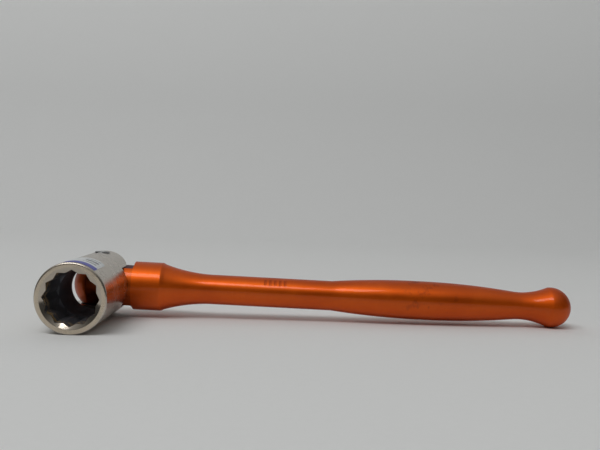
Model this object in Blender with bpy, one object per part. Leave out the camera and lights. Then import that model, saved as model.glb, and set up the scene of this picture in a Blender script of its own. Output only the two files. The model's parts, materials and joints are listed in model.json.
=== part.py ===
"""Swivel-head scaffold spanner: a deep twelve-point tube socket on a turned aluminium handle.

The tool lies as it is put down on a bench: the tube socket square to the handle, at the end of its swing,
and the handle sloping down from the tube to the ball at its far end. The world frame has +X along the handle
towards the ball, +Z up, and its origin under the middle of the tool's bounding box.

Everything is modelled about the pivot: +X along the handle, +Z along the cross pin, and the mouth of the
socket towards -Y. One empty at the pivot then lays the whole tool down.
"""

import math

import bmesh
import bpy
from mathutils import Vector

MM = 0.001
GAP = 0.3 * MM

# Twelve-point mouth, for a 21 mm across-flats hexagon nut.
NUT_ACROSS_FLATS = 21.0 * MM
BROACH_DEPTH = 22.0 * MM
LEAD_IN_RADIUS = 13.2 * MM
LEAD_IN_SLOPE = math.tan(math.radians(25.0))

# Tube socket.
SOCKET_RADIUS = 15.4 * MM
SOCKET_LENGTH = 66.0 * MM
PIVOT_FROM_MOUTH = 56.0 * MM
MOUTH_CHAMFER = 0.9 * MM
BORE_RADIUS = 10.7 * MM
SLOT_HALF_HEIGHT = 9.4 * MM

# Turned handle, with distances measured from the pivot. The neck's flare meets the ball in a crease, a
# little before the ball's middle.
TONGUE_CLEARANCE = 0.4 * MM
TONGUE_HALF_HEIGHT = SLOT_HALF_HEIGHT - TONGUE_CLEARANCE
TONGUE_NOSE_RADIUS = 12.5 * MM
TONGUE_LENGTH = 16.7 * MM
SHOULDER_FILLET = 1.2 * MM
HEAD_RADIUS = 11.7 * MM
HEAD_END = 30.0 * MM
CONE_START = 31.3 * MM
CONE_END = 55.0 * MM
CONE_ARC_RADIUS = 75.0 * MM
WAIST_RADIUS = 7.2 * MM
GRIP_RADIUS = 9.45 * MM
GRIP_START = 154.4 * MM
GRIP_END = 159.4 * MM
GRIP_FRONT_ARC_RADIUS = 384.0 * MM
GRIP_BACK_ARC_RADIUS = 355.0 * MM
NECK_AT = 205.5 * MM
NECK_RADIUS = 6.65 * MM
BALL_FROM_PIVOT = 221.3 * MM
BALL_RADIUS = 9.85 * MM
BALL_CREASE = 1.5 * MM

# Cross pin: a low head on top of the tube, in a spot face, and a flush lower end.
PIN_RADIUS = 3.0 * MM
PIN_HOLE_RADIUS = PIN_RADIUS + GAP
PIN_HEAD_RADIUS = 3.5 * MM
PIN_HEAD_TOP = 16.1 * MM
PIN_EDGE = 0.4 * MM
PIN_BOTTOM = -14.9 * MM
SPOT_FACE_RADIUS = PIN_HEAD_RADIUS + GAP
SPOT_FACE_AT = 14.7 * MM

# Size sticker on top of the tube, with angles measured round the tube from its top.
LABEL_FROM_MOUTH = 1.1 * MM
LABEL_LENGTH = 22.0 * MM
LABEL_LEFT = math.radians(-14.0)
LABEL_RIGHT = math.radians(37.5)
LABEL_THICKNESS = 0.2 * MM

# Facets round a full turn, and points along each long arc of the handle.
HANDLE_FACETS = 48
SOCKET_FACETS = 64
PIN_FACETS = 24
ARC_POINTS = 9

# How the tool lies: the tube and the ball both touch the bench.
LEAN = math.asin((SOCKET_RADIUS - BALL_RADIUS) / BALL_FROM_PIVOT)
BALL_END = BALL_FROM_PIVOT * math.cos(LEAN) + BALL_RADIUS
PIVOT_LOCATION = Vector((
    (SOCKET_RADIUS - BALL_END) / 2,
    (PIVOT_FROM_MOUTH - HEAD_RADIUS) / 2,
    SOCKET_RADIUS,
))


def clear_scene():
    for item in list(bpy.data.objects):
        bpy.data.objects.remove(item, do_unlink=True)


def material(name, colour, roughness, metallic):
    """A plain Principled material for one sub-part."""
    result = bpy.data.materials.new(name)
    result.use_nodes = True
    shader = result.node_tree.nodes["Principled BSDF"]
    shader.inputs["Base Color"].default_value = (*colour, 1.0)
    shader.inputs["Roughness"].default_value = roughness
    shader.inputs["Metallic"].default_value = metallic
    return result


def new_object(name, mesh, parent):
    mesh.shade_smooth()
    mesh.set_sharp_from_angle(angle=math.radians(30.0))
    result = bpy.data.objects.new(name, mesh)
    result.parent = parent
    bpy.context.scene.collection.objects.link(result)
    return result


def mesh_from(name, build):
    """Run one bmesh builder and return the mesh, with its faces pointing out."""
    work = bmesh.new()
    build(work)
    bmesh.ops.recalc_face_normals(work, faces=work.faces)
    mesh = bpy.data.meshes.new(name)
    work.to_mesh(mesh)
    work.free()
    return mesh


def turned(profile, axis, facets):
    """A builder that turns a profile of (along, radius) points about an axis, closed at both ends."""
    axis = Vector(axis)
    side = Vector((0, 0, 1)) if axis.z == 0 else Vector((1, 0, 0))

    def build(work):
        points = [work.verts.new(axis * along + side * radius) for along, radius in profile]
        edges = [work.edges.new(pair) for pair in zip(points, points[1:])]
        bmesh.ops.spin(work, geom=points + edges, cent=(0, 0, 0), axis=axis,
                       angle=2 * math.pi, steps=facets, use_merge=True)
        bmesh.ops.remove_doubles(work, verts=work.verts, dist=0.001 * MM)

    return build


def extruded(outline, start, along):
    """A builder that extrudes a closed outline of points by one vector."""
    def build(work):
        points = [work.verts.new(Vector(start) + Vector(point)) for point in outline]
        face = work.faces.new(points)
        moved = bmesh.ops.extrude_face_region(work, geom=[face])
        fresh = [item for item in moved["geom"] if isinstance(item, bmesh.types.BMVert)]
        bmesh.ops.translate(work, verts=fresh, vec=Vector(along))

    return build


def block(low, high):
    """A builder for a box between two corners."""
    outline = [(low[0], low[1], 0), (high[0], low[1], 0), (high[0], high[1], 0), (low[0], high[1], 0)]
    return extruded(outline, (0, 0, low[2]), (0, 0, high[2] - low[2]))


def cut(target, name, build):
    """Cut a shape out of the target with a hidden cutter and a Boolean modifier."""
    cutter = new_object(name, mesh_from(name, build), target.parent)
    cutter.hide_render = True
    cutter.display_type = "WIRE"
    modifier = target.modifiers.new(name, "BOOLEAN")
    modifier.operation = "DIFFERENCE"
    modifier.solver = "EXACT"
    modifier.object = cutter


def arc(centre, radius, start, end, count):
    """Points on an arc, from one angle to another, both included."""
    step = (end - start) / (count - 1)
    angles = [start + step * index for index in range(count)]
    return [(centre[0] + radius * math.cos(angle), centre[1] + radius * math.sin(angle)) for angle in angles]


def bowed(start, end, level_at, radius, arc_radius, count):
    """Points of a long shallow arc that runs level with the axis at one place."""
    side = 1 if arc_radius > 0 else -1
    points = []
    for index in range(count):
        along = start + (end - start) * index / (count - 1)
        drop = abs(arc_radius) - math.sqrt(arc_radius ** 2 - (along - level_at) ** 2)
        points.append((along, radius - side * drop))
    return points


def grip_reach(arc_radius, end_radius):
    """How far along the axis a grip arc takes to come down to a radius."""
    drop = GRIP_RADIUS - end_radius
    return math.sqrt(arc_radius ** 2 - (arc_radius - drop) ** 2)


def handle_profile():
    """The handle's outline from the tongue's nose to the end of the ball."""
    nose_end = math.acos(-math.sqrt(TONGUE_NOSE_RADIUS ** 2 - HEAD_RADIUS ** 2) / TONGUE_NOSE_RADIUS)
    nose = arc((0, 0), TONGUE_NOSE_RADIUS, math.pi, nose_end, ARC_POINTS)
    cone = bowed(CONE_START, CONE_END, CONE_END, WAIST_RADIUS, -CONE_ARC_RADIUS, ARC_POINTS)

    grip_front = GRIP_START - grip_reach(GRIP_FRONT_ARC_RADIUS, WAIST_RADIUS)
    front = bowed(grip_front, GRIP_START, GRIP_START, GRIP_RADIUS, GRIP_FRONT_ARC_RADIUS, ARC_POINTS)
    neck_rise = 0.1 * MM
    grip_back = GRIP_END + grip_reach(GRIP_BACK_ARC_RADIUS, NECK_RADIUS + neck_rise)
    back = bowed(GRIP_END, grip_back, GRIP_END, GRIP_RADIUS, GRIP_BACK_ARC_RADIUS, ARC_POINTS)

    crease = math.pi / 2 + math.asin(BALL_CREASE / BALL_RADIUS)
    flare_run = BALL_FROM_PIVOT - BALL_CREASE - NECK_AT
    flare_rise = BALL_RADIUS * math.sin(crease) - NECK_RADIUS
    flare_arc = (flare_run ** 2 + flare_rise ** 2) / (2 * flare_rise)
    flare = bowed(NECK_AT, NECK_AT + flare_run, NECK_AT, NECK_RADIUS, -flare_arc, ARC_POINTS)
    ball = arc((BALL_FROM_PIVOT, 0), BALL_RADIUS, crease, 0, ARC_POINTS + 2)
    ends = [(along, max(radius, 0.0)) for along, radius in nose[:1] + ball[-1:]]
    head = nose[1:] + [(HEAD_END, HEAD_RADIUS)] + cone
    grip = front + back + flare + ball[1:-1]
    return ends[:1] + head + grip + ends[1:]


def make_handle(pivot):
    """One turned bar: tongue with two flats, head, cone, waist, grip, neck and ball."""
    bar = mesh_from("handle", turned(handle_profile(), (1, 0, 0), HANDLE_FACETS))
    handle = new_object("handle", bar, pivot)
    handle.data.materials.append(material("anodised_orange", (0.62, 0.13, 0.01), 0.35, 1.0))

    reach = 2 * HEAD_RADIUS
    for name, side in (("flat_above", 1), ("flat_below", -1)):
        low = TONGUE_HALF_HEIGHT
        fillet = arc((TONGUE_LENGTH - SHOULDER_FILLET, low + SHOULDER_FILLET), SHOULDER_FILLET,
                     -math.pi / 2, 0, 4)
        outline = [(-reach, 0, low * side)] + [(x, 0, z * side) for x, z in fillet]
        outline += [(TONGUE_LENGTH, 0, reach * side), (-reach, 0, reach * side)]
        cut(handle, name, extruded(outline, (0, -reach, 0), (0, 2 * reach, 0)))

    hole = [(-reach, 0), (-reach, PIN_HOLE_RADIUS), (reach, PIN_HOLE_RADIUS), (reach, 0)]
    cut(handle, "tongue_pin_hole", turned(hole, (0, 0, 1), PIN_FACETS))


def socket_profile():
    """The tube's outline about its own axis, from the bottom of its bore out to its closed back end."""
    mouth = -PIVOT_FROM_MOUTH
    slot_front = -HEAD_RADIUS - GAP
    drill_past_slot = 0.8 * MM
    bore_end = slot_front + drill_past_slot
    lead_in_end = mouth + (LEAD_IN_RADIUS - BORE_RADIUS) * LEAD_IN_SLOPE
    back = mouth + SOCKET_LENGTH
    return [
        (bore_end, 0),
        (bore_end, BORE_RADIUS),
        (lead_in_end, BORE_RADIUS),
        (mouth, LEAD_IN_RADIUS),
        (mouth, SOCKET_RADIUS - MOUTH_CHAMFER),
        (mouth + MOUTH_CHAMFER, SOCKET_RADIUS),
        (back, SOCKET_RADIUS),
        (back, 0),
    ]


def twelve_point_outline():
    """Two hexagons, one turned by 30 degrees: points at every 30 degrees and flats between them."""
    flat = NUT_ACROSS_FLATS / 2
    point_radius = flat / math.cos(math.radians(30.0))
    valley_radius = flat / math.cos(math.radians(15.0))
    outline = []
    for index in range(24):
        radius = valley_radius if index % 2 else point_radius
        angle = math.radians(15.0) * index
        outline.append((radius * math.sin(angle), 0, radius * math.cos(angle)))
    return outline


def make_socket(pivot):
    """The tube: twelve-point mouth, bore, slot for the tongue and two rounded ears with the pin holes."""
    mouth = -PIVOT_FROM_MOUTH
    tube = mesh_from("socket", turned(socket_profile(), (0, 1, 0), SOCKET_FACETS))
    socket = new_object("socket", tube, pivot)
    socket.data.materials.append(material("bright_plate", (0.72, 0.70, 0.66), 0.22, 1.0))

    overrun = 2 * MM
    cut(socket, "broach", extruded(twelve_point_outline(), (0, mouth - overrun, 0),
                                   (0, BROACH_DEPTH + overrun, 0)))

    wide = 2 * SOCKET_RADIUS
    slot_front = -HEAD_RADIUS - GAP
    slot_low = (-wide, slot_front, -SLOT_HALF_HEIGHT)
    slot_high = (wide, wide, SLOT_HALF_HEIGHT)
    cut(socket, "slot", block(slot_low, slot_high))

    ear_radius = math.sqrt(SOCKET_RADIUS ** 2 - SLOT_HALF_HEIGHT ** 2)
    ear_centre = mouth + SOCKET_LENGTH - ear_radius
    rounding = [(x, y, 0) for x, y in arc((0, ear_centre), ear_radius, math.pi, 0, 25)]
    rounding += [(wide, ear_centre, 0), (wide, wide, 0), (-wide, wide, 0), (-wide, ear_centre, 0)]
    cut(socket, "ear_rounding", extruded(rounding, (0, 0, -wide), (0, 0, 2 * wide)))

    hole = [(-wide, 0), (-wide, PIN_HOLE_RADIUS), (SPOT_FACE_AT, PIN_HOLE_RADIUS),
            (SPOT_FACE_AT, SPOT_FACE_RADIUS), (wide, SPOT_FACE_RADIUS), (wide, 0)]
    cut(socket, "ear_pin_holes", turned(hole, (0, 0, 1), PIN_FACETS))


def make_pin(pivot):
    """The cross pin: a low head, a plain shank and a bevelled lower end."""
    underside = SPOT_FACE_AT + GAP
    profile = [
        (PIN_BOTTOM, 0),
        (PIN_BOTTOM, PIN_RADIUS - PIN_EDGE),
        (PIN_BOTTOM + PIN_EDGE, PIN_RADIUS),
        (underside, PIN_RADIUS),
        (underside, PIN_HEAD_RADIUS),
        (PIN_HEAD_TOP - PIN_EDGE, PIN_HEAD_RADIUS),
        (PIN_HEAD_TOP, PIN_HEAD_RADIUS - PIN_EDGE),
        (PIN_HEAD_TOP, 0),
    ]
    pin = new_object("pivot_pin", mesh_from("pivot_pin", turned(profile, (0, 0, 1), PIN_FACETS)), pivot)
    pin.data.materials.append(material("dark_steel", (0.22, 0.21, 0.20), 0.35, 1.0))


def make_label(pivot):
    """A thin sticker, bent round the top of the tube."""
    inner = SOCKET_RADIUS + GAP
    count = 13
    angles = [LABEL_LEFT + (LABEL_RIGHT - LABEL_LEFT) * index / (count - 1) for index in range(count)]
    outline = []
    for radius, ordered in ((inner, angles), (inner + LABEL_THICKNESS, angles[::-1])):
        outline += [(radius * math.sin(angle), 0, radius * math.cos(angle)) for angle in ordered]
    start = (0, LABEL_FROM_MOUTH - PIVOT_FROM_MOUTH, 0)
    film = mesh_from("size_label", extruded(outline, start, (0, LABEL_LENGTH, 0)))
    label = new_object("size_label", film, pivot)
    label.data.materials.append(material("printed_film", (0.70, 0.72, 0.75), 0.45, 0.0))


def main():
    clear_scene()
    tool_pivot = bpy.data.objects.new("tool_pivot", None)
    bpy.context.scene.collection.objects.link(tool_pivot)
    tool_pivot.location = PIVOT_LOCATION
    tool_pivot.rotation_euler = (0, LEAN, 0)
    make_handle(tool_pivot)
    make_socket(tool_pivot)
    make_pin(tool_pivot)
    make_label(tool_pivot)


main()
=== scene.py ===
"""Looks for the swivel-head scaffold spanner: fine meshes, metal, film, floor, light and camera.

Everything on the tool is modelled about its pivot, in tool space: +X along the handle, +Z up the cross pin,
and the mouth of the socket towards -Y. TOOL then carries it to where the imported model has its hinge.
"""

import json
import math

import bmesh
import bpy
from mathutils import Matrix, Vector


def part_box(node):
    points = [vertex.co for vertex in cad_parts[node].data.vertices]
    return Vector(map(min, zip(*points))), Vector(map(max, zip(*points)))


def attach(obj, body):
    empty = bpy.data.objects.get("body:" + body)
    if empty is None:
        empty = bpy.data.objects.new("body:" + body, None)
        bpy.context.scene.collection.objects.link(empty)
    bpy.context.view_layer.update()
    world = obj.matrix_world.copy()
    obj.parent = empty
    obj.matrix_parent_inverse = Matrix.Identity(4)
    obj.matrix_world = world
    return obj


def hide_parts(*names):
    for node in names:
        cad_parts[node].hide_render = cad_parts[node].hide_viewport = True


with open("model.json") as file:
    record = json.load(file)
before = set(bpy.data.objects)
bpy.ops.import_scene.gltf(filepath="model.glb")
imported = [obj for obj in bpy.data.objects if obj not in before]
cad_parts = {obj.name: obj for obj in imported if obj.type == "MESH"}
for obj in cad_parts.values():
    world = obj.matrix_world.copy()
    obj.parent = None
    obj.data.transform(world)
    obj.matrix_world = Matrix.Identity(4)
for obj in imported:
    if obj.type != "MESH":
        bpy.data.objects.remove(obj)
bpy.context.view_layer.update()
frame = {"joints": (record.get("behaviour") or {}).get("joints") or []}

MM = 0.001

# Where the tool is: the hinge gives the pivot and the direction of the cross pin.
HINGE = frame["joints"][0]
PIVOT = Vector(HINGE["pos_m"])
PIN_UP = -Vector(HINGE["axis"]).normalized()
TOOL_Y = Vector((0, 1, 0))
TOOL_X = TOOL_Y.cross(PIN_UP).normalized()
TOOL = Matrix.Translation(PIVOT) @ Matrix((TOOL_X, TOOL_Y, PIN_UP)).transposed().to_4x4()

# Tube socket. Columns of its mesh stand every COLUMN_STEP round the tube, counted from the top. The slot
# meets the tube on one of them, and the bore on another.
SOCKET_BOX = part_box("socket")
SOCKET_RADIUS = (SOCKET_BOX[1].z - SOCKET_BOX[0].z) / 2
SOCKET_LENGTH = SOCKET_BOX[1].y - SOCKET_BOX[0].y
MOUTH_Y = SOCKET_BOX[0].y - PIVOT.y
COLUMNS = 144
COLUMN_STEP = math.tau / COLUMNS
SLOT_COLUMN = 21
BORE_COLUMN = 12
SLOT_HALF_HEIGHT = SOCKET_RADIUS * math.cos(SLOT_COLUMN * COLUMN_STEP)
BORE_RADIUS = SLOT_HALF_HEIGHT / math.cos(BORE_COLUMN * COLUMN_STEP)
HEAD_RADIUS = 11.7 * MM
SLOT_FRONT = -HEAD_RADIUS - 0.3 * MM
BORE_PAST_SLOT = 0.8 * MM
NUT_ACROSS_FLATS = 21.0 * MM
BROACH_DEPTH = 22.0 * MM
BROACH_END_SLOPE = 0.5 * MM
BROACH_CLEAR_RADIUS = 12.2 * MM
LEAD_IN_RADIUS = 13.2 * MM
LEAD_IN_SLOPE = math.tan(math.radians(30.0))
MOUTH_ROUNDING = 0.95 * MM
EAR_HOLE_RADIUS = 3.2 * MM
EAR_SPARE = 1.0 * MM

# Turned handle, by distance from the pivot. The neck's flare meets the ball in a crease, a little before
# the ball's middle.
TONGUE_HALF_HEIGHT = 9.0 * MM
TONGUE_NOSE_RADIUS = 12.5 * MM
TONGUE_LENGTH = 16.7 * MM
TONGUE_EDGES_FROM = -4.0 * MM
TONGUE_EDGES_TO = 17.0 * MM
SHOULDER_FILLET = 1.2 * MM
HEAD_END = 30.0 * MM
HEAD_EDGE_BEFORE = 0.3 * MM
HEAD_EDGE_AFTER = 0.25 * MM
HEAD_EDGE_DROP = 0.06 * MM
CONE_START = 31.3 * MM
CONE_END = 55.0 * MM
CONE_ARC_RADIUS = 75.0 * MM
WAIST_RADIUS = 7.2 * MM
GRIP_RADIUS = 9.45 * MM
GRIP_START = 154.4 * MM
GRIP_END = 159.4 * MM
GRIP_FRONT_ARC_RADIUS = 384.0 * MM
GRIP_BACK_ARC_RADIUS = 355.0 * MM
NECK_AT = 205.5 * MM
NECK_RADIUS = 6.65 * MM
NECK_RISE = 0.1 * MM
BALL_FROM_PIVOT = 221.3 * MM
BALL_RADIUS = 9.85 * MM
BALL_CREASE = 1.5 * MM

# Stamped ticks on the handle's front, with their angle measured from the top towards the viewer.
TICKS_AT = 85 * MM
TICKS_REACH = 6 * MM
TICK_PITCH = 2.4 * MM
TICK_ANGLE = math.radians(42.0)
TICK_REACH = math.radians(14.0)
TICK_DEPTH = 0.15 * MM

# Cross pin: a low head on top of the tube, in a spot face, and a flush lower end.
PIN_RADIUS = 3.0 * MM
PIN_HOLE_RADIUS = 3.3 * MM
PIN_HEAD_RADIUS = 3.5 * MM
PIN_HEAD_TOP = 16.1 * MM
PIN_HEAD_EDGE = 0.25 * MM
PIN_HEAD_GAP = 0.02 * MM
PIN_CROWN_RADIUS = 1.3 * MM
PIN_CROWN_RISE = 0.45 * MM
PIN_BOTTOM = -14.9 * MM
PIN_END_EDGE = 0.4 * MM
SPOT_FACE_RADIUS = 3.65 * MM
SPOT_FACE_AT = 14.7 * MM

# Sticker, with angles measured round the tube from its top.
LABEL_FROM_MOUTH = 1.1 * MM
LABEL_LENGTH = 22.0 * MM
LABEL_LEFT = math.radians(-14.0)
LABEL_RIGHT = math.radians(37.5)
LABEL_CORNER = 4.0 * MM
LABEL_RADII = (SOCKET_RADIUS + 0.03 * MM, SOCKET_RADIUS + 0.13 * MM)

# Its print, in parts of its width and length: a stripe at the front, and rules that fill a field behind it.
LABEL_STRIPE = 0.25
RULES_ACROSS = (0.40, 0.86)
RULES_ALONG = (0.42, 0.86)
RULES_PER_LABEL = 4.2
RULE_GAP = 0.45

# How finely the shapes are made.
HANDLE_COLUMNS = 144
PIN_COLUMNS = 48
LABEL_COLUMNS = 40
LABEL_ROWS = 44
LONG_ARC_POINTS = 25
NOSE_POINTS = 24
FLARE_POINTS = 22
BALL_POINTS = 30
SMALL_ARC_POINTS = 9
PIN_EDGE_POINTS = 7
EDGE_ROUNDING = 0.2 * MM

# Where most of a noise texture's values lie.
NOISE_SPREAD = (0.3, 0.7)

# Studio. The room gets lighter as the view into it rises.
FLOOR_TINT = (0.82, 0.825, 0.82)
BACKDROP_GAIN = 1.2
BACKDROP_FULL_HEIGHT = 0.35
SWEEP_START = 0.62
SWEEP_RADIUS = 0.20
STAGE_HALF_WIDTH = 3.0
STAGE_FRONT = -3.0
STAGE_HEIGHT = 2.5
ROOM_TINT = (0.80, 0.81, 0.80, 1)
ROOM_LOW = 0.07
ROOM_HIGH = 0.54
ROOM_FADE_FROM = 0.35
ROOM_FADE_TO = 1.0
KEY_PLACE = (-0.70, -1.04, 2.0)
KEY_SIZE = (1.98, 0.60)
KEY_POWER = 19.5

# Camera: metres to the right of the pivot, in front of it and above the floor, and angles in degrees.
CAMERA_ASIDE = 0.0887
CAMERA_AHEAD = 0.3865
CAMERA_HEIGHT = 0.0625
CAMERA_YAW = -1.14
CAMERA_DOWN = 2.31
CAMERA_ROLL = 1.766
CAMERA_LENS = 47.4


# ---------------------------------------------------------------- mesh helpers

def mesh_of(name, work):
    """A mesh from the bmesh of a closed shape, with its faces turned outwards."""
    bmesh.ops.recalc_face_normals(work, faces=work.faces)
    mesh = bpy.data.meshes.new(name)
    work.to_mesh(mesh)
    work.free()
    return mesh


def add_object(name, data):
    result = bpy.data.objects.new(name, data)
    bpy.context.scene.collection.objects.link(result)
    return result


def add_piece(name, work):
    return add_object(name, mesh_of(name, work))


def arc(centre, radius, start, end, count):
    """Points on an arc, from one angle to another, both included."""
    step = (end - start) / (count - 1)
    angles = [start + step * index for index in range(count)]
    return [(centre[0] + radius * math.cos(angle), centre[1] + radius * math.sin(angle)) for angle in angles]


def bowed(start, end, level_at, radius, arc_radius, count):
    """A long shallow arc, level with the axis at one place; a negative arc radius rises away from there."""
    side = 1 if arc_radius > 0 else -1
    points = []
    for index in range(count):
        along = start + (end - start) * index / (count - 1)
        drop = abs(arc_radius) - math.sqrt(arc_radius ** 2 - (along - level_at) ** 2)
        points.append((along, radius - side * drop))
    return points


def turned(profile, axis, columns):
    """A bmesh turned from (along, radius) points about an axis, with one point at each end on the axis."""
    on_axis = 1e-7
    axis = Vector(axis)
    up = Vector((0, 0, 1)) if axis.z == 0 else Vector((1, 0, 0))
    side = axis.cross(up)
    angles = [math.tau * index / columns for index in range(columns)]
    work = bmesh.new()
    rings = []
    for along, radius in profile:
        if radius < on_axis:
            rings.append([work.verts.new(axis * along)])
            continue
        rings.append([work.verts.new(axis * along + radius * (up * math.cos(a) + side * math.sin(a)))
                      for a in angles])
    for first, second in zip(rings, rings[1:]):
        for index in range(columns):
            after = (index + 1) % columns
            corners = [first[index % len(first)], first[after % len(first)],
                       second[after % len(second)], second[index % len(second)]]
            work.faces.new(list(dict.fromkeys(corners)))
    return work


def extruded(outline, start, along):
    """A bmesh made by extruding a closed outline by one vector."""
    work = bmesh.new()
    face = work.faces.new([work.verts.new(Vector(start) + Vector(point)) for point in outline])
    moved = bmesh.ops.extrude_face_region(work, geom=[face])
    fresh = [item for item in moved["geom"] if isinstance(item, bmesh.types.BMVert)]
    bmesh.ops.translate(work, verts=fresh, vec=Vector(along))
    return work


def cut(target, *shapes):
    """Cut closed bmeshes out of the target for good."""
    for index, shape in enumerate(shapes):
        cutter = add_piece(f"{target.name}_cutter_{index}", shape)
        modifier = target.modifiers.new("cut", "BOOLEAN")
        modifier.operation = "DIFFERENCE"
        modifier.solver = "EXACT"
        modifier.object = cutter
        graph = bpy.context.evaluated_depsgraph_get()
        mesh = bpy.data.meshes.new_from_object(target.evaluated_get(graph))
        target.modifiers.remove(modifier)
        old = target.data
        target.data = mesh
        bpy.data.meshes.remove(old)
        bpy.data.objects.remove(cutter, do_unlink=True)


def round_edges(target, wanted, merge):
    """Round the sharp edges whose ends both pass a test, in tool space, after merging points that meet."""
    flat = math.radians(0.5)
    sharp = math.radians(35.0)
    work = bmesh.new()
    work.from_mesh(target.data)
    bmesh.ops.remove_doubles(work, verts=work.verts, dist=merge)
    bmesh.ops.dissolve_limit(work, angle_limit=flat, verts=work.verts, edges=work.edges)
    edges = [edge for edge in work.edges
             if len(edge.link_faces) == 2 and edge.calc_face_angle(0) > sharp
             and all(wanted(vertex.co) for vertex in edge.verts)]
    bmesh.ops.bevel(work, geom=edges, offset=EDGE_ROUNDING, segments=2, profile=0.5, affect="EDGES",
                    clamp_overlap=True)
    work.to_mesh(target.data)
    work.free()


def finish_piece(piece, body, node, sharp_degrees=40.0):
    """Smooth the piece, weight its normals, put it in its place under its body and hide the imported part it
    stands for.
    """
    piece.data.shade_smooth()
    piece.data.set_sharp_from_angle(angle=math.radians(sharp_degrees))
    weighted = piece.modifiers.new("normals", "WEIGHTED_NORMAL")
    weighted.keep_sharp = True
    piece.data.transform(TOOL)
    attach(piece, body)
    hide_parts(node)


# ---------------------------------------------------------------- material helpers

class Shader:
    """A node tree being built: short calls that add a node and return its output."""

    def __init__(self, name):
        self.material = bpy.data.materials.new(name)
        self.material.use_nodes = True
        self.nodes = self.material.node_tree.nodes
        self.links = self.material.node_tree.links
        self.surface = self.nodes["Principled BSDF"]

    def feed(self, socket, value):
        if isinstance(value, bpy.types.NodeSocket):
            self.links.new(value, socket)
        else:
            socket.default_value = value

    def add(self, kind, output=0, **inputs):
        node = self.nodes.new(kind)
        for key, value in inputs.items():
            self.feed(node.inputs[key.replace("_", " ")], value)
        return node.outputs[output]

    def place(self):
        """Where a point is on the piece, in metres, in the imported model's frame."""
        return self.add("ShaderNodeTexCoord", "Object")

    def tool_place(self):
        """Where a point is in tool space, in metres from the pivot."""
        moved = self.nodes.new("ShaderNodeVectorMath")
        moved.operation = "SUBTRACT"
        self.feed(moved.inputs[0], self.place())
        self.feed(moved.inputs[1], PIVOT)
        turn = self.nodes.new("ShaderNodeVectorRotate")
        turn.rotation_type = "Y_AXIS"
        self.feed(turn.inputs["Angle"], -math.atan2(PIN_UP.x, PIN_UP.z))
        self.feed(turn.inputs["Vector"], moved.outputs[0])
        return turn.outputs[0]

    def stretched(self, vector, scale):
        return self.add("ShaderNodeMapping", Vector=vector, Scale=scale)

    def noise(self, vector, scale, detail, roughness=0.55):
        return self.add("ShaderNodeTexNoise", "Fac", Vector=vector, Scale=scale, Detail=detail,
                        Roughness=roughness)

    def math(self, operation, *values):
        node = self.nodes.new("ShaderNodeMath")
        node.operation = operation
        for socket, value in zip(node.inputs, values):
            self.feed(socket, value)
        return node.outputs[0]

    def product(self, first, *others):
        """Several values multiplied together; of masks, one where every mask is one."""
        for other in others:
            first = self.math("MULTIPLY", first, other)
        return first

    def from_axis(self, first, second):
        """The distance from an axis, by the two coordinates that run across it."""
        squares = [self.product(item, item) for item in (first, second)]
        return self.math("SQRT", self.math("ADD", *squares))

    def within(self, value, middle, reach):
        """One where a value lies less than a reach from a middle."""
        off = self.math("ABSOLUTE", self.math("SUBTRACT", value, middle))
        return self.math("LESS_THAN", off, reach)

    def between(self, value, low, high):
        """One where a value lies between two limits."""
        return self.product(self.math("GREATER_THAN", value, low), self.math("LESS_THAN", value, high))

    def ramp(self, value, low, high, to_low=0.0, to_high=1.0, smooth=True):
        """Map a value from one range to another, clamped at both ends."""
        node = self.nodes.new("ShaderNodeMapRange")
        node.interpolation_type = "SMOOTHSTEP" if smooth else "LINEAR"
        for key, item in (("Value", value), ("From Min", low), ("From Max", high),
                          ("To Min", to_low), ("To Max", to_high)):
            self.feed(node.inputs[key], item)
        return node.outputs[0]

    def mix(self, factor, first, second):
        node = self.nodes.new("ShaderNodeMix")
        node.data_type = "RGBA"
        self.feed(node.inputs[0], factor)
        self.feed(node.inputs[6], first)
        self.feed(node.inputs[7], second)
        return node.outputs[2]

    def parts(self, vector):
        """The X, Y and Z of a vector."""
        node = self.nodes.new("ShaderNodeSeparateXYZ")
        self.links.new(vector, node.inputs[0])
        return node.outputs

    def bump(self, height, distance, **normal):
        return self.add("ShaderNodeBump", Height=height, Distance=distance, **normal)

    def set(self, **inputs):
        for key, value in inputs.items():
            self.feed(self.surface.inputs[key.replace("_", " ")], value)


def colour(red, green, blue):
    return (red, green, blue, 1.0)


# ---------------------------------------------------------------- materials

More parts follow.
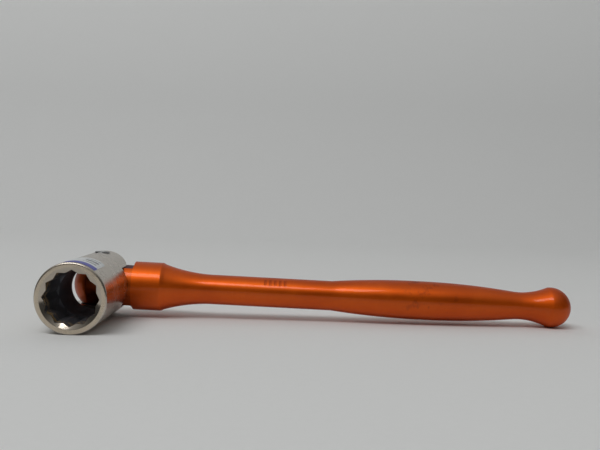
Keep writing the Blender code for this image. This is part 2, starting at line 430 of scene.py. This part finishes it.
def anodised_material():
    """Orange anodised aluminium: turning marks, stains on the grip, stamped ticks, and painted shade on the
    tongue where it sits in the slot.
    """
    deep = colour(0.64, 0.092, 0.0035)
    bright = colour(0.72, 0.116, 0.006)
    band = colour(0.68, 0.096, 0.005)
    stained = colour(0.26, 0.030, 0.008)
    stamped_dark = colour(0.30, 0.030, 0.002)
    # The next two colours are painted shade: the tongue inside the slot and bore, and its flats under the
    # ears.
    tongue_shade_colour = colour(0.20, 0.035, 0.006)
    flat_shade_colour = colour(0.14, 0.065, 0.075)
    stain_strength = 0.5
    tick_strength = 0.45
    held_from, held_to = (140 * MM, 158 * MM), (164 * MM, 180 * MM)
    tongue_end = TONGUE_LENGTH - 0.2 * MM
    flat_height = TONGUE_HALF_HEIGHT - 0.05 * MM

    s = Shader("anodised_orange")
    place = s.tool_place()
    along, across, height = s.parts(place)
    turning = s.noise(s.stretched(place, (1.0, 0.02, 0.02)), scale=2600.0, detail=3.0)
    banding = s.noise(s.stretched(place, (1.0, 0.05, 0.05)), scale=420.0, detail=2.0)
    cloud = s.noise(place, scale=45.0, detail=4.0)
    grain = s.noise(place, scale=1500.0, detail=2.0)
    base = s.mix(s.ramp(cloud, 0.35, 0.65), deep, bright)
    base = s.mix(s.ramp(banding, 0.4, 0.6, to_high=0.25), base, band)

    # Small stains, only where the hand holds the grip.
    held = s.product(s.ramp(along, *held_from), s.ramp(along, *held_to, 1.0, 0.0))
    stain = s.product(s.ramp(s.noise(place, scale=190.0, detail=3.0, roughness=0.6), 0.54, 0.68), held)
    base = s.mix(s.product(stain, stain_strength), base, stained)

    # The row of ticks, which the bump below presses in.
    round_bar = s.math("ARCTAN2", s.product(across, -1.0), height)
    row = s.product(s.within(round_bar, TICK_ANGLE, TICK_REACH), s.within(along, TICKS_AT, TICKS_REACH))
    phase = s.math("FRACT", s.math("DIVIDE", along, TICK_PITCH))
    off_middle = s.math("ABSOLUTE", s.math("SUBTRACT", phase, 0.5))
    tick = s.product(row, s.ramp(off_middle, 0.16, 0.30, 1.0, 0.0))
    base = s.mix(s.product(tick, tick_strength), base, stamped_dark)

    # Painted shade: the tongue is darkened where it sits in the slot, most of all at its nose inside the
    # bore, and its flats, which the ears shade, are painted dark too.
    on_tongue = s.math("LESS_THAN", along, tongue_end)
    tongue_shade = s.product(s.ramp(along, -6 * MM, 16.5 * MM, 0.6, 0.35, smooth=False), on_tongue)
    base = s.mix(tongue_shade, base, tongue_shade_colour)
    # Painted shade on the tongue's flats, where the ears shade them.
    on_flat = s.math("GREATER_THAN", s.math("ABSOLUTE", height), flat_height)
    shaded_flat = s.product(on_flat, on_tongue)
    base = s.mix(shaded_flat, base, flat_shade_colour)

    # Satin under a clear coat. The flats with painted shade have no coat, and they and the ball are rougher.
    coat = s.product(s.math("SUBTRACT", 1.0, shaded_flat), 0.4)
    s.set(Base_Color=base, Metallic=1.0, Coat_Weight=coat, Coat_Roughness=0.10)
    s.set(Specular_Tint=colour(0.65, 0.63, 0.66))
    satin = s.math("ADD", s.ramp(cloud, *NOISE_SPREAD, 0.43, 0.48), s.ramp(grain, *NOISE_SPREAD, -0.02, 0.02))
    matter = s.math("ADD", s.product(shaded_flat, 0.12), s.ramp(along, 175 * MM, 222 * MM, to_high=0.10))
    s.set(Roughness=s.math("ADD", satin, matter))
    stamped = s.bump(s.math("SUBTRACT", 1.0, tick), TICK_DEPTH)
    s.set(Normal=s.bump(turning, 0.004 * MM, Normal=stamped))
    return s.material


def plated_material():
    """Bright nickel plate over turned steel, slightly brown: fine rings round the tube, a shinier lead-in."""
    plate_low = colour(0.50, 0.445, 0.385)
    plate_high = colour(0.59, 0.535, 0.47)
    mouth_ring = colour(0.64, 0.545, 0.43)
    lead_in_cone = colour(0.50, 0.44, 0.37)
    browned = colour(0.42, 0.37, 0.31)
    lead_in_shine = 0.5

    s = Shader("bright_plate")
    place = s.tool_place()
    rings = s.noise(s.stretched(place, (0.02, 1.0, 0.02)), scale=1500.0, detail=4.0)
    cloud = s.noise(place, scale=70.0, detail=4.0)
    mottle = s.noise(place, scale=420.0, detail=3.0)
    base = s.mix(s.ramp(cloud, *NOISE_SPREAD), plate_low, plate_high)
    x, y, z = s.parts(place)
    lead_in = s.math("LESS_THAN", s.from_axis(x, z), LEAD_IN_RADIUS)
    faced = s.ramp(y, MOUTH_Y + 0.02 * MM, MOUTH_Y + 0.2 * MM, 1.0, 0.0)
    base = s.mix(faced, base, mouth_ring)
    base = s.mix(lead_in, base, lead_in_cone)
    base = s.mix(s.ramp(mottle, 0.55, 0.75, to_high=0.35), base, browned)
    s.set(Base_Color=base, Metallic=1.0)
    worn = s.ramp(cloud, *NOISE_SPREAD, 0.21, 0.29)
    s.set(Roughness=s.product(worn, s.ramp(lead_in, 0.0, 1.0, 1.0, lead_in_shine)))
    s.set(Normal=s.bump(rings, 0.006 * MM))
    return s.material


def bore_material():
    """The unplated inside of the socket: oily and dark near the mouth, painted lighter and bluer deeper in,
    where little light reaches (painted light), with worn flecks near the mouth.
    """
    # Painted light: the deep bore's colour, lifted where little light reaches.
    deep_bore_painted_light = colour(0.26, 0.265, 0.30)
    in_broach = colour(0.080, 0.080, 0.090)
    worn_metal = colour(0.58, 0.41, 0.21)

    s = Shader("oiled_bore_painted_light")
    place = s.tool_place()
    rub = s.noise(place, scale=330.0, detail=5.0, roughness=0.65)
    depth = s.parts(place)[1]
    near_mouth = s.ramp(depth, MOUTH_Y + 2.5 * MM, MOUTH_Y + 9 * MM, 1.0, 0.0)
    painted_lift_fade = s.ramp(depth, MOUTH_Y + 8 * MM, MOUTH_Y + 24 * MM, 1.0, 0.0)
    fleck = s.product(s.ramp(rub, 0.47, 0.55), near_mouth)
    # Painted light: dark near the mouth, fading to the lifted colour deeper in.
    bore_tone_with_painted_light = s.mix(painted_lift_fade, deep_bore_painted_light, in_broach)
    s.set(Base_Color=s.mix(fleck, bore_tone_with_painted_light, worn_metal), Metallic=s.product(fleck, 0.8), Specular_IOR_Level=0.06)
    s.set(Roughness=s.ramp(rub, *NOISE_SPREAD, 0.60, 0.45))
    s.set(Normal=s.bump(rub, 0.05 * MM))
    return s.material


def pin_material():
    """Dark steel, with the crown of the head rubbed bright."""
    dark_low = colour(0.24, 0.24, 0.242)
    dark_high = colour(0.34, 0.34, 0.338)
    rubbed_bright = colour(0.80, 0.80, 0.79)

    s = Shader("dark_steel")
    place = s.tool_place()
    scratches = s.noise(place, scale=900.0, detail=4.0)
    x, y, z = s.parts(place)
    near_axis = s.ramp(s.from_axis(x, y), PIN_CROWN_RADIUS, PIN_CROWN_RADIUS + 0.2 * MM, 1.0, 0.0)
    crown = s.product(near_axis, s.math("GREATER_THAN", z, 0.0))
    dark = s.mix(s.ramp(scratches, 0.35, 0.7), dark_low, dark_high)
    s.set(Base_Color=s.mix(crown, dark, rubbed_bright), Metallic=1.0, Specular_Tint=colour(0.45, 0.45, 0.45))
    s.set(Roughness=s.ramp(scratches, *NOISE_SPREAD, 0.12, 0.18))
    s.set(Normal=s.bump(scratches, 0.004 * MM))
    return s.material


def label_material():
    """Printed film: whitish, with a blue-violet stripe at its front and a few broken grey rules."""
    film_low = colour(0.58, 0.60, 0.61)
    film_high = colour(0.73, 0.75, 0.76)
    rule_ink = colour(0.10, 0.105, 0.12)
    stripe_ink = colour(0.075, 0.08, 0.41)

    s = Shader("printed_film")
    across, along = s.parts(s.add("ShaderNodeTexCoord", "UV"))[:2]
    stripe = s.math("LESS_THAN", along, LABEL_STRIPE)
    lines = s.math("GREATER_THAN", s.math("FRACT", s.product(along, RULES_PER_LABEL)), RULE_GAP)
    rules = s.product(lines, s.between(across, *RULES_ACROSS), s.between(along, *RULES_ALONG))
    broken = s.ramp(s.noise(s.tool_place(), scale=700.0, detail=2.0), 0.36, 0.48)
    cloud = s.noise(s.tool_place(), scale=300.0, detail=3.0)
    film = s.mix(s.ramp(cloud, *NOISE_SPREAD), film_low, film_high)
    film = s.mix(s.product(rules, broken), film, rule_ink)
    film = s.mix(stripe, film, stripe_ink)
    s.set(Base_Color=film, Metallic=0.0, Roughness=0.42)
    s.set(Normal=s.bump(cloud, 0.02 * MM))
    return s.material


def floor_material():
    """Matt pale paper, a little paler up the backdrop."""
    backdrop = [BACKDROP_GAIN * part for part in FLOOR_TINT]
    fibre_grey = colour(0.5, 0.5, 0.5)

    s = Shader("pale_paper")
    place = s.place()
    height = s.ramp(s.parts(place)[2], 0.0, BACKDROP_FULL_HEIGHT, smooth=False)
    paper = s.mix(height, colour(*FLOOR_TINT), colour(*backdrop))
    fibre = s.noise(place, scale=300.0, detail=3.0)
    paper = s.mix(s.ramp(fibre, *NOISE_SPREAD, to_high=0.02), paper, fibre_grey)
    s.set(Base_Color=paper, Roughness=0.85, Specular_IOR_Level=0.25)
    return s.material


# ---------------------------------------------------------------- handle

def grip_reach(arc_radius, end_radius):
    """How far along the axis a grip arc takes to come down to a radius."""
    drop = GRIP_RADIUS - end_radius
    return math.sqrt(arc_radius ** 2 - (arc_radius - drop) ** 2)


def handle_profile():
    """The handle's outline from the tongue's nose to the end of the ball."""
    nose_end = math.acos(-math.sqrt(TONGUE_NOSE_RADIUS ** 2 - HEAD_RADIUS ** 2) / TONGUE_NOSE_RADIUS)
    nose = arc((0, 0), TONGUE_NOSE_RADIUS, math.pi, nose_end, NOSE_POINTS)
    head = [(TONGUE_LENGTH, HEAD_RADIUS), (HEAD_END - HEAD_EDGE_BEFORE, HEAD_RADIUS),
            (HEAD_END + HEAD_EDGE_AFTER, HEAD_RADIUS - HEAD_EDGE_DROP)]
    cone = bowed(CONE_START, CONE_END, CONE_END, WAIST_RADIUS, -CONE_ARC_RADIUS, LONG_ARC_POINTS)

    grip_front = GRIP_START - grip_reach(GRIP_FRONT_ARC_RADIUS, WAIST_RADIUS)
    front = bowed(grip_front, GRIP_START, GRIP_START, GRIP_RADIUS, GRIP_FRONT_ARC_RADIUS, LONG_ARC_POINTS)
    grip_back = GRIP_END + grip_reach(GRIP_BACK_ARC_RADIUS, NECK_RADIUS + NECK_RISE)
    back = bowed(GRIP_END, grip_back, GRIP_END, GRIP_RADIUS, GRIP_BACK_ARC_RADIUS, LONG_ARC_POINTS)

    crease = math.pi / 2 + math.asin(BALL_CREASE / BALL_RADIUS)
    flare_run = BALL_FROM_PIVOT - BALL_CREASE - NECK_AT
    flare_rise = BALL_RADIUS * math.sin(crease) - NECK_RADIUS
    flare_arc = (flare_run ** 2 + flare_rise ** 2) / (2 * flare_rise)
    flare = bowed(NECK_AT, NECK_AT + flare_run, NECK_AT, NECK_RADIUS, -flare_arc, FLARE_POINTS)
    ball = arc((BALL_FROM_PIVOT, 0), BALL_RADIUS, crease, 0, BALL_POINTS)
    nose[0] = (nose[0][0], 0.0)
    ball[-1] = (ball[-1][0], 0.0)
    return nose + head + cone + front + back + flare + ball[1:]


def tongue_flat(side, reach):
    """What is milled off above (1) or below (-1) the tongue, with a fillet at the shoulder."""
    fillet = arc((TONGUE_LENGTH - SHOULDER_FILLET, TONGUE_HALF_HEIGHT + SHOULDER_FILLET), SHOULDER_FILLET,
                 -math.pi / 2, 0, SMALL_ARC_POINTS)
    outline = [(-reach, 0, TONGUE_HALF_HEIGHT * side)] + [(x, 0, z * side) for x, z in fillet]
    outline += [(TONGUE_LENGTH, 0, reach * side), (-reach, 0, reach * side)]
    return extruded(outline, (0, -reach, 0), (0, 2 * reach, 0))


def make_handle():
    handle = add_piece("handle_turned", turned(handle_profile(), (1, 0, 0), HANDLE_COLUMNS))
    reach = 2 * HEAD_RADIUS
    cut(handle, *(tongue_flat(side, reach) for side in (1, -1)))
    round_edges(handle, lambda co: TONGUE_EDGES_FROM < co.x < TONGUE_EDGES_TO, merge=0.03 * MM)
    hole = [(-reach, 0), (-reach, PIN_HOLE_RADIUS), (reach, PIN_HOLE_RADIUS), (reach, 0)]
    cut(handle, turned(hole, (0, 0, 1), PIN_COLUMNS))
    handle.data.materials.append(anodised_material())
    finish_piece(handle, "handle", "handle")


# ---------------------------------------------------------------- socket

def broach_radius(angle):
    """The twelve-point outline: the further of two hexagons, one turned by 30 degrees."""
    apothem = NUT_ACROSS_FLATS / 2
    sixth = math.tau / 6
    first = apothem / math.cos((angle % sixth) - sixth / 2)
    second = apothem / math.cos(((angle + sixth / 2) % sixth) - sixth / 2)
    return max(first, second)


def socket_column(angle):
    """One column of the tube, as (distance from the mouth, radius), from the bore's bottom to the back."""
    star = broach_radius(angle)
    slot = SLOT_FRONT - MOUTH_Y
    inside = [(slot + BORE_PAST_SLOT, BORE_RADIUS), (slot, BORE_RADIUS),
              (BROACH_DEPTH + BROACH_END_SLOPE, BORE_RADIUS), (BROACH_DEPTH, star)]
    # The lead-in's cone, with both its edges barely rounded.
    meets = (LEAD_IN_RADIUS - star) * LEAD_IN_SLOPE
    lead = [(meets + 0.12 * MM, star), (meets - 0.04 * MM, star + 0.1 * MM),
            (0.03 * MM, LEAD_IN_RADIUS - 0.07 * MM), (0.0, LEAD_IN_RADIUS + 0.05 * MM)]
    edge = arc((MOUTH_ROUNDING, SOCKET_RADIUS - MOUTH_ROUNDING), MOUTH_ROUNDING, math.pi, math.pi / 2,
               SMALL_ARC_POINTS)
    outside = [(slot, SOCKET_RADIUS), (SOCKET_LENGTH + EAR_SPARE, SOCKET_RADIUS)]
    return inside + lead + edge + outside


def socket_tube():
    """The tube with its mouth, bore and a closed back, as columns round the axis."""
    work = bmesh.new()
    columns = []
    for index in range(COLUMNS):
        angle = index * COLUMN_STEP
        columns.append([work.verts.new((radius * math.sin(angle), MOUTH_Y + along, radius * math.cos(angle)))
                        for along, radius in socket_column(angle)])
    for first, second in zip(columns, columns[1:] + columns[:1]):
        for low in range(len(first) - 1):
            work.faces.new((first[low], first[low + 1], second[low + 1], second[low]))
    work.faces.new([column[0] for column in columns])
    work.faces.new([column[-1] for column in columns])
    return work


def ear_rounding():
    """What is cut off behind the ears, with its arc's points on the tube's mesh lines."""
    wide = 2 * SOCKET_RADIUS
    radius = math.sqrt(SOCKET_RADIUS ** 2 - SLOT_HALF_HEIGHT ** 2)
    centre = MOUTH_Y + SOCKET_LENGTH - radius
    across = [SOCKET_RADIUS * math.sin(index * COLUMN_STEP) for index in range(-SLOT_COLUMN, SLOT_COLUMN + 1)]
    outline = [(x, centre + math.sqrt(max(radius ** 2 - x ** 2, 0.0)), 0) for x in across]
    outline += [(wide, centre, 0), (wide, wide, 0), (-wide, wide, 0), (-wide, centre, 0)]
    return extruded(outline, (0, 0, -wide), (0, 0, 2 * wide))


def slot_block():
    """The slot for the tongue, open at both sides and at the back."""
    wide = 2 * SOCKET_RADIUS
    outline = [(-wide, SLOT_FRONT, 0), (wide, SLOT_FRONT, 0), (wide, wide, 0), (-wide, wide, 0)]
    return extruded(outline, (0, 0, -SLOT_HALF_HEIGHT), (0, 0, 2 * SLOT_HALF_HEIGHT))


def pin_way():
    """The hole for the pin through both ears, with the spot face on top."""
    reach = 2 * SOCKET_RADIUS
    outline = [(-reach, 0), (-reach, EAR_HOLE_RADIUS), (SPOT_FACE_AT, EAR_HOLE_RADIUS),
               (SPOT_FACE_AT, SPOT_FACE_RADIUS), (reach, SPOT_FACE_RADIUS), (reach, 0)]
    return turned(outline, (0, 0, 1), PIN_COLUMNS)


def in_the_dark(middle):
    """Whether a face of the socket, by its middle, lies in the broach and bore or in a pin hole."""
    from_bore = math.hypot(middle.x, middle.z)
    from_pin = math.hypot(middle.x, middle.y)
    past_lead_in = middle.y > MOUTH_Y + (LEAD_IN_RADIUS - from_bore) * LEAD_IN_SLOPE + 0.1 * MM
    in_bore = from_bore < BROACH_CLEAR_RADIUS and past_lead_in and middle.y < SLOT_FRONT - 0.1 * MM
    in_ear = abs(middle.z) > SLOT_HALF_HEIGHT + 0.1 * MM
    in_pin_hole = from_pin < SPOT_FACE_RADIUS + 0.05 * MM and in_ear
    return in_bore or in_pin_hole


def make_socket():
    socket = add_piece("socket_tube", socket_tube())
    cut(socket, slot_block(), ear_rounding())
    round_edges(socket, lambda co: co.y > SLOT_FRONT - 1 * MM, merge=0.02 * MM)
    cut(socket, pin_way())
    socket.data.materials.append(plated_material())
    socket.data.materials.append(bore_material())
    for face in socket.data.polygons:
        if in_the_dark(face.center):
            face.material_index = 1
    finish_piece(socket, "head", "socket", sharp_degrees=28.0)


# ---------------------------------------------------------------- pin and sticker

def make_pin():
    """The pin: flush lower end, shank, and a low head with a rounded edge and a small peened crown."""
    rim = PIN_HEAD_TOP - PIN_CROWN_RISE
    under_head = SPOT_FACE_AT + PIN_HEAD_GAP
    edge = arc((rim - PIN_HEAD_EDGE, PIN_HEAD_RADIUS - PIN_HEAD_EDGE), PIN_HEAD_EDGE, math.pi / 2, 0,
               PIN_EDGE_POINTS)
    ball = (PIN_CROWN_RADIUS ** 2 + PIN_CROWN_RISE ** 2) / (2 * PIN_CROWN_RISE)
    crown = arc((PIN_HEAD_TOP - ball, 0), ball, math.asin(PIN_CROWN_RADIUS / ball), 0, SMALL_ARC_POINTS)
    shank = [(PIN_BOTTOM, 0.0), (PIN_BOTTOM, PIN_RADIUS - PIN_END_EDGE),
             (PIN_BOTTOM + PIN_END_EDGE, PIN_RADIUS), (under_head, PIN_RADIUS), (under_head, PIN_HEAD_RADIUS)]
    profile = shank + edge + crown[:-1] + [(PIN_HEAD_TOP, 0.0)]
    pin = add_piece("pin_headed", turned(profile, (0, 0, 1), PIN_COLUMNS))
    pin.data.materials.append(pin_material())
    finish_piece(pin, "head", "pivot_pin")


def label_sheet(work, radius):
    """One side of the film as rows of points, from the front to the back, where its corners are rounded."""
    sheet = []
    for row in range(LABEL_ROWS + 1):
        from_rear = LABEL_LENGTH * (1 - row / LABEL_ROWS)
        y = MOUTH_Y + LABEL_FROM_MOUTH + LABEL_LENGTH - from_rear
        into_corner = max(LABEL_CORNER - from_rear, 0.0)
        inset = (LABEL_CORNER - math.sqrt(LABEL_CORNER ** 2 - into_corner ** 2)) / SOCKET_RADIUS
        left, right = LABEL_LEFT + inset, LABEL_RIGHT - inset
        angles = [left + (right - left) * column / LABEL_COLUMNS for column in range(LABEL_COLUMNS + 1)]
        sheet.append([work.verts.new((radius * math.sin(a), y, radius * math.cos(a))) for a in angles])
    return sheet


def make_label():
    """Thin film bent round the tube, with UVs: across the tool in u, away from the mouth in v."""
    work = bmesh.new()
    layer = work.loops.layers.uv.new("label")
    inner, outer = [label_sheet(work, radius) for radius in LABEL_RADII]
    for sheet in (inner, outer):
        for low, high in zip(sheet, sheet[1:]):
            for column in range(LABEL_COLUMNS):
                work.faces.new((low[column], low[column + 1], high[column + 1], high[column]))
    for row in range(LABEL_ROWS):
        for column in (0, LABEL_COLUMNS):
            work.faces.new((inner[row][column], inner[row + 1][column],
                            outer[row + 1][column], outer[row][column]))
    for column in range(LABEL_COLUMNS):
        for row in (0, LABEL_ROWS):
            work.faces.new((inner[row][column], inner[row][column + 1],
                            outer[row][column + 1], outer[row][column]))
    for face in work.faces:
        for loop in face.loops:
            spot = loop.vert.co
            u = (math.atan2(spot.x, spot.z) - LABEL_LEFT) / (LABEL_RIGHT - LABEL_LEFT)
            v = (spot.y - MOUTH_Y - LABEL_FROM_MOUTH) / LABEL_LENGTH
            loop[layer].uv = (u, v)
    label = add_piece("label_film", work)
    label.data.materials.append(label_material())
    finish_piece(label, "head", "size_label")


# ---------------------------------------------------------------- studio

def make_stage():
    """A pale floor that sweeps up into a plain backdrop."""
    bend = arc((SWEEP_START, SWEEP_RADIUS), SWEEP_RADIUS, -math.pi / 2, 0, LONG_ARC_POINTS)
    line = [(STAGE_FRONT, 0.0)] + bend + [(SWEEP_START + SWEEP_RADIUS, STAGE_HEIGHT)]
    work = bmesh.new()
    left, right = [[work.verts.new((x, y, z)) for y, z in line]
                   for x in (-STAGE_HALF_WIDTH, STAGE_HALF_WIDTH)]
    for low in range(len(line) - 1):
        work.faces.new((left[low], right[low], right[low + 1], left[low + 1]))
    mesh = bpy.data.meshes.new("floor_sweep")
    work.to_mesh(mesh)
    work.free()
    mesh.shade_smooth()
    floor = add_object("floor_sweep", mesh)
    floor.data.materials.append(floor_material())


def make_room():
    """A grey room round the stage, lighter overhead than low down."""
    world = bpy.data.worlds.new("studio")
    bpy.context.scene.world = world
    world.use_nodes = True
    nodes = world.node_tree.nodes
    links = world.node_tree.links
    direction = nodes.new("ShaderNodeTexCoord").outputs["Generated"]
    height = nodes.new("ShaderNodeSeparateXYZ")
    links.new(direction, height.inputs[0])
    fade = nodes.new("ShaderNodeMapRange")
    fade.interpolation_type = "SMOOTHSTEP"
    for key, value in (("From Min", ROOM_FADE_FROM), ("From Max", ROOM_FADE_TO),
                       ("To Min", ROOM_LOW), ("To Max", ROOM_HIGH)):
        fade.inputs[key].default_value = value
    links.new(height.outputs["Z"], fade.inputs["Value"])
    room = nodes["Background"]
    room.inputs["Color"].default_value = ROOM_TINT
    links.new(fade.outputs[0], room.inputs["Strength"])


def make_key_light():
    """A soft light from over the viewer's left shoulder, aimed at the middle of the tool."""
    data = bpy.data.lights.new("key", "AREA")
    data.shape = "RECTANGLE"
    data.size, data.size_y = KEY_SIZE
    data.energy = KEY_POWER
    lamp = add_object("key", data)
    lamp.location = KEY_PLACE
    lamp.rotation_euler = (-Vector(KEY_PLACE)).to_track_quat("-Z", "Y").to_euler()


def make_camera():
    """The photograph's viewing angle: low in front of the tool, to the right of its pivot, slightly down."""
    data = bpy.data.cameras.new("camera")
    data.sensor_width = 36.0
    data.lens = CAMERA_LENS
    data.clip_start = 0.01
    data.clip_end = 20.0
    camera = add_object("camera", data)
    camera.location = (PIVOT.x + CAMERA_ASIDE, PIVOT.y - CAMERA_AHEAD, CAMERA_HEIGHT)
    yaw = Matrix.Rotation(math.radians(CAMERA_YAW), 4, "Z")
    pitch = Matrix.Rotation(math.radians(90.0 - CAMERA_DOWN), 4, "X")
    roll = Matrix.Rotation(math.radians(CAMERA_ROLL), 4, "Z")
    camera.rotation_euler = (yaw @ pitch @ roll).to_euler()
    bpy.context.scene.camera = camera


make_camera()
make_stage()
make_room()
make_key_light()
bpy.context.scene.view_settings.view_transform = "Standard"
make_handle()
make_socket()
make_pin()
make_label()
